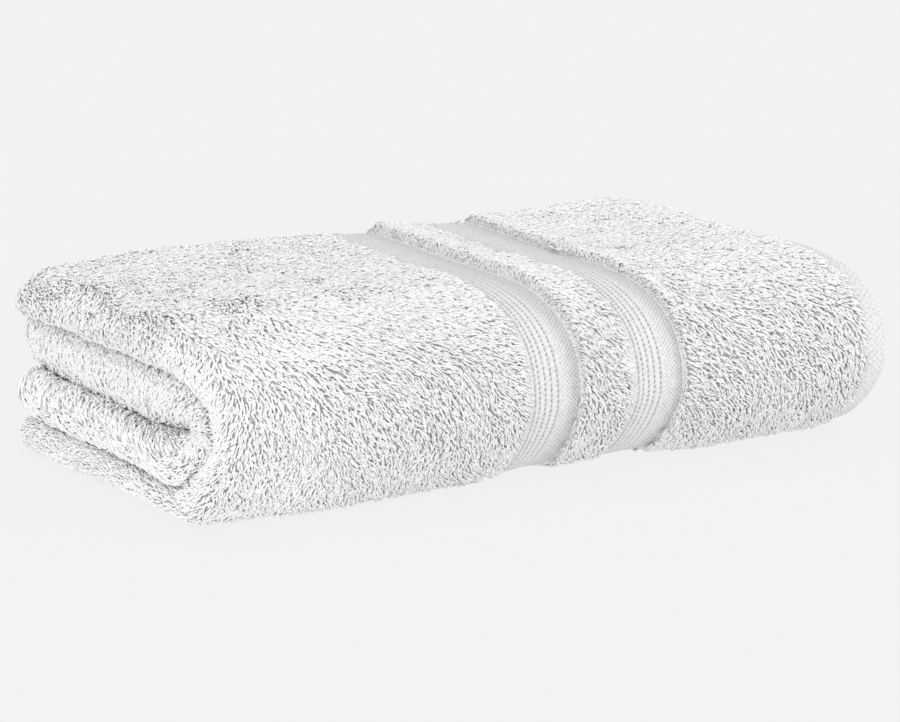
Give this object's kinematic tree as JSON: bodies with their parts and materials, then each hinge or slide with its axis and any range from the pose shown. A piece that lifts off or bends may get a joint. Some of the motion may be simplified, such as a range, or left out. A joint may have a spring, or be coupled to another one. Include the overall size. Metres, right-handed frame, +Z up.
{
  "type": "folded bath towel",
  "caption": "Plush terry bath towel folded into a shelf bundle with a round front fold, flat woven bands across it and a flat hem.",
  "frame": {"origin": "under the middle of the folded bundle, on the surface it lies on", "axes": "+X along the bundle from the folded lobes to the hem, -Y towards the round front fold, +Z up"},
  "size_m": [0.3678, 0.1952, 0.0959],
  "materials": {
    "white_terry": "matt white cotton terry with an uncut pile, flat woven bands and hem"
  },
  "bodies": {
    "root": {"towel": "white_terry"}
  },
  "joints": []
}
